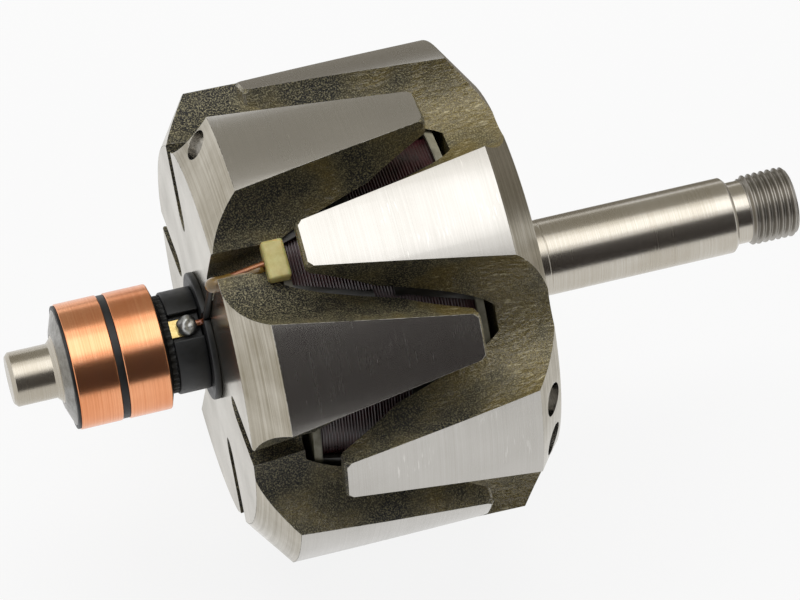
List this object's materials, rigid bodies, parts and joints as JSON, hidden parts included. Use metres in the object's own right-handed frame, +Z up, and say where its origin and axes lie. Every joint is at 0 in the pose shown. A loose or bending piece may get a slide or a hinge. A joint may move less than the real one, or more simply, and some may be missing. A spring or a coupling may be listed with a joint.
{
  "type": "alternator rotor",
  "caption": "Claw pole rotor of an alternator: steel shaft with keyway and threaded end, interlocking tapered claws round a field winding, copper slip rings on a black moulding.",
  "frame": {"origin": "on the shaft axis at the drive end bearing shoulder", "axes": "+X along the shaft towards the threaded drive end, +Z up as the rotor lies"},
  "size_m": [0.1775, 0.1046, 0.1046],
  "materials": {
    "shaft_steel": "ground steel",
    "pole_steel": "turned forged steel with dark forged valleys",
    "bobbin_nylon": "natural nylon",
    "winding": "red enamelled copper wire",
    "ring_copper": "turned copper",
    "black_moulding": "black moulded resin",
    "end_cap_resin": "pale grey moulded resin",
    "lead_nylon": "cream nylon",
    "lead_resin": "amber impregnating resin",
    "lead_copper": "varnished copper wire",
    "tab_brass": "brass strip",
    "solder": "soft solder"
  },
  "bodies": {
    "root": {"shaft": "shaft_steel", "slip_ring_end_pole": "pole_steel", "drive_end_pole": "pole_steel", "bobbin": "bobbin_nylon", "field_coil": "winding", "slip_ring_outer": "ring_copper", "slip_ring_inner": "ring_copper", "slip_ring_moulding": "black_moulding", "ring_end_cap": "end_cap_resin", "terminal_collar": "black_moulding", "insulating_washer": "black_moulding", "lead_block_a": "lead_nylon", "lead_block_b": "lead_nylon", "lead_seal_a": "lead_resin", "lead_seal_b": "lead_resin", "lead_wire_a": "lead_copper", "lead_wire_b": "lead_copper", "terminal_tab_a": "tab_brass", "terminal_tab_b": "tab_brass", "solder_bead_a": "solder", "solder_bead_b": "solder"}
  },
  "joints": []
}
